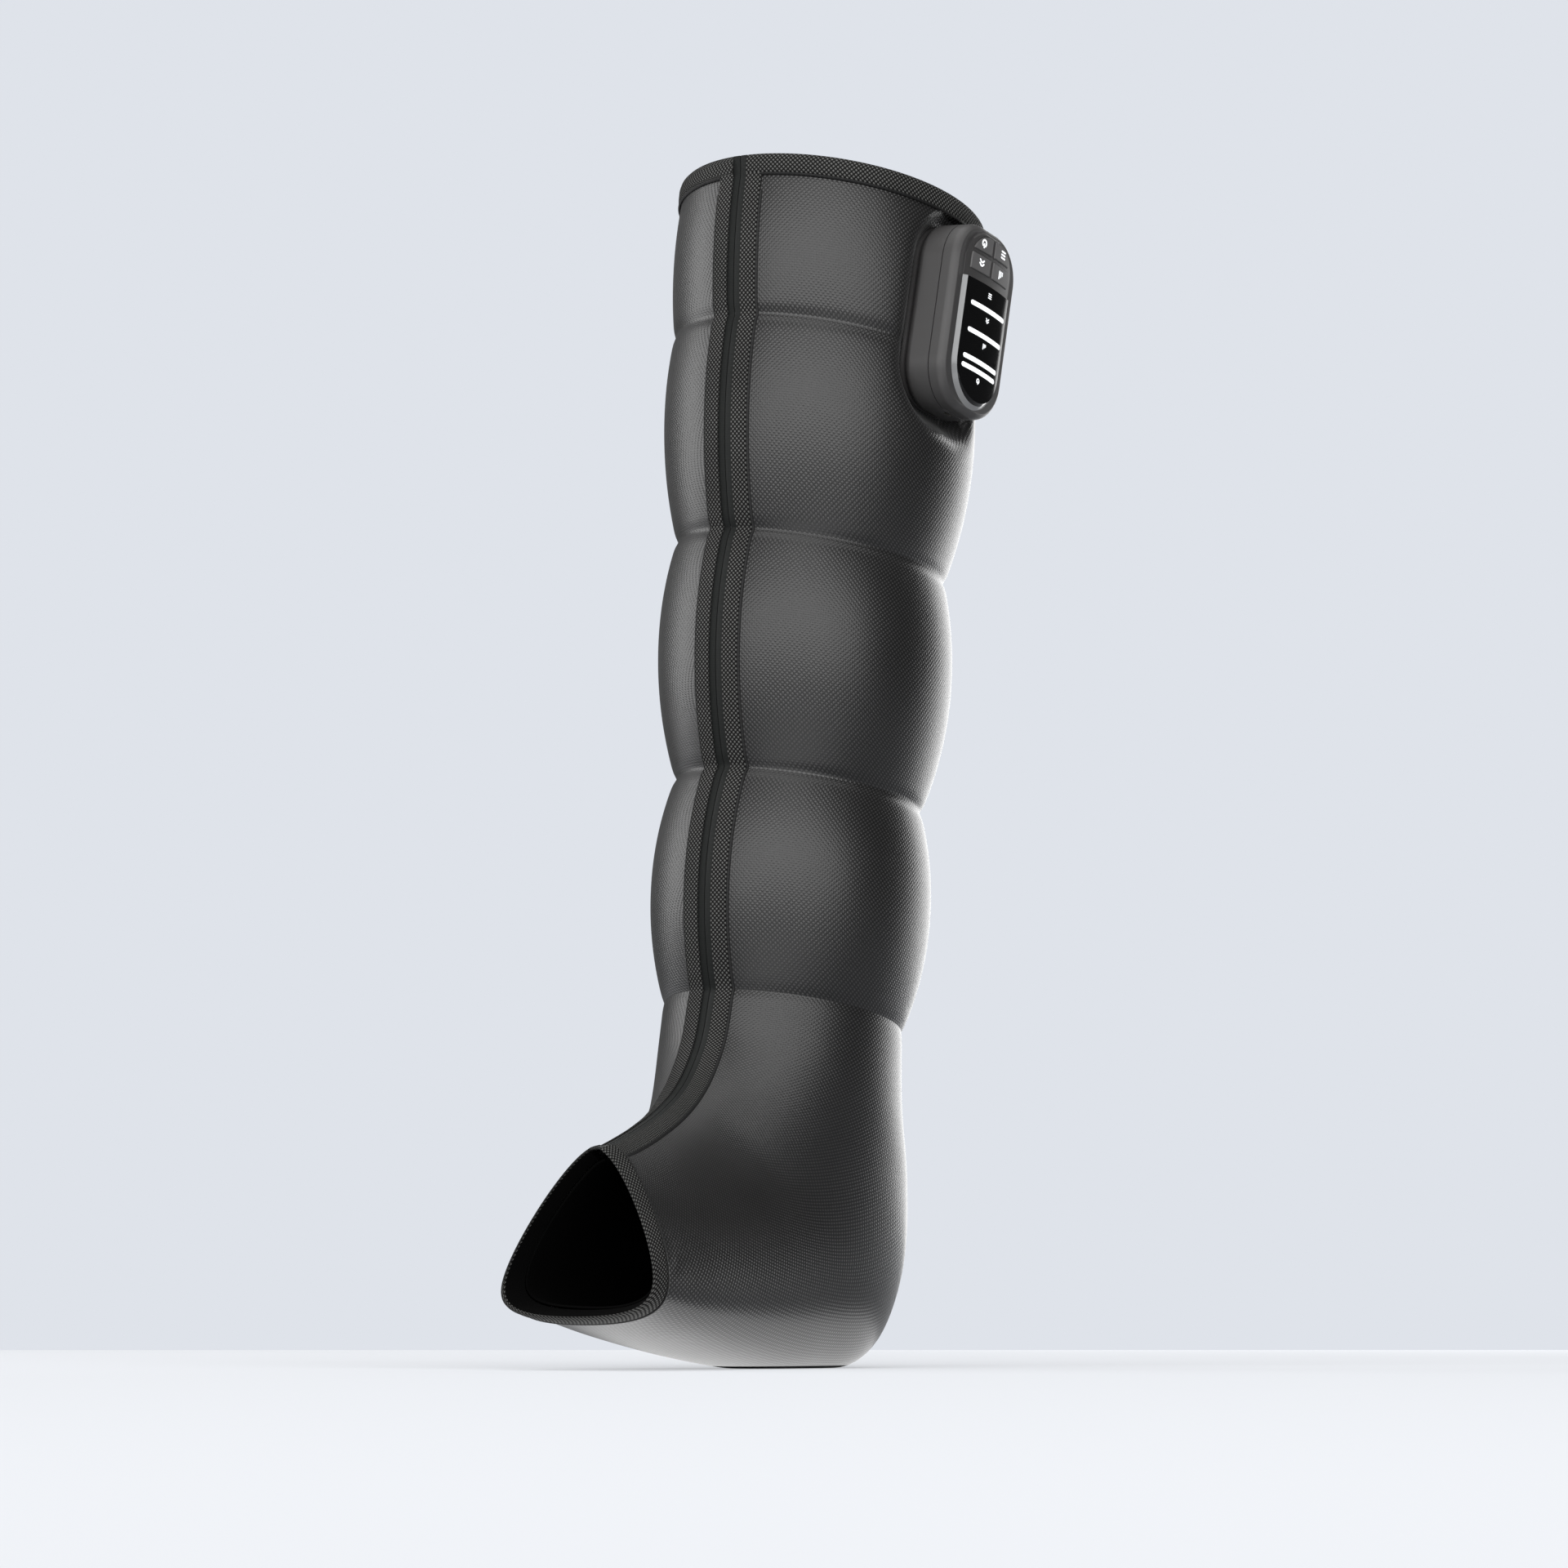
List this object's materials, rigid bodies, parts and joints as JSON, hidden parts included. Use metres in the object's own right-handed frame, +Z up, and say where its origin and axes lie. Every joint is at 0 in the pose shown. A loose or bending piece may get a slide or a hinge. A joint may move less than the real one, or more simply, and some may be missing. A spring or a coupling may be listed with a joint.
{
  "type": "compression therapy pump sleeve",
  "caption": "Thigh-high air compression sleeve with ringed air chambers, a front zip, an open toe and a keyed pump controller on its outer side.",
  "frame": {"origin": "on the flat patch of the sole, below the ankle", "axes": "+Z up along the leg, -Y to the toes, +X to the outer side of the leg, where the controller is"},
  "size_m": [0.2144, 0.3515, 0.7429],
  "materials": {
    "sleeve_fabric": "fine twill, matt",
    "liner_fabric": "smooth taffeta",
    "bladder_fabric": "coated and welded",
    "binding_webbing": "coarse weave",
    "zip_tape": "fine weave",
    "zip_coil_nylon": "moulded coil",
    "housing_plastic": "fine spark texture",
    "key_plastic": "satin",
    "display_lens": "polished, dark tint",
    "bezel_trim": "polished bevel",
    "screw_steel": "zinc plated",
    "battery_wrap": "shrink wrap",
    "motor_steel": "drawn can",
    "pump_plastic": "moulded",
    "valve_steel": "plated can",
    "circuit_board": "solder mask",
    "switch_plastic": "moulded",
    "port_steel": "formed shell"
  },
  "bodies": {
    "sleeve": {"leg_cover": "sleeve_fabric", "foot_cover": "sleeve_fabric", "inner_liner": "liner_fabric", "air_chamber_1": "bladder_fabric", "air_chamber_2": "bladder_fabric", "air_chamber_3": "bladder_fabric", "air_chamber_4": "bladder_fabric", "air_chamber_5": "bladder_fabric", "zip_tape_left": "zip_tape", "zip_tape_right": "zip_tape", "zip_coil": "zip_coil_nylon", "zip_binding_left": "binding_webbing", "zip_binding_right": "binding_webbing", "rim_binding": "binding_webbing", "toe_binding": "binding_webbing", "dock_plate": "housing_plastic", "housing_screws": "screw_steel", "rear_housing": "housing_plastic", "front_housing": "housing_plastic", "display_lens": "display_lens", "lens_bezel": "bezel_trim", "battery": "battery_wrap", "pump_motor": "motor_steel", "pump_head": "pump_plastic", "air_manifold": "pump_plastic", "solenoid_valves": "valve_steel", "main_board": "circuit_board", "tact_switches": "switch_plastic", "display_board": "circuit_board", "charge_port": "port_steel"},
    "power_key_body": {"power_key": "key_plastic"},
    "mode_key_body": {"mode_key": "key_plastic"},
    "zone_key_body": {"zone_key": "key_plastic"},
    "pressure_key_body": {"pressure_key": "key_plastic"}
  },
  "joints": [
    {"name": "power_key_press", "type": "slide", "parent": "sleeve", "child": "power_key_body", "axis": [-0.9956, -0.0784, 0.0523], "range_m": [0, 0.001], "stiffness_N_per_m": 700, "springref_m": -0.001},
    {"name": "mode_key_press", "type": "slide", "parent": "sleeve", "child": "mode_key_body", "axis": [-0.9956, -0.0784, 0.0523], "range_m": [0, 0.001], "stiffness_N_per_m": 700, "springref_m": -0.001},
    {"name": "zone_key_press", "type": "slide", "parent": "sleeve", "child": "zone_key_body", "axis": [-0.9956, -0.0784, 0.0523], "range_m": [0, 0.001], "stiffness_N_per_m": 700, "springref_m": -0.001},
    {"name": "pressure_key_press", "type": "slide", "parent": "sleeve", "child": "pressure_key_body", "axis": [-0.9956, -0.0784, 0.0523], "range_m": [0, 0.001], "stiffness_N_per_m": 700, "springref_m": -0.001}
  ]
}
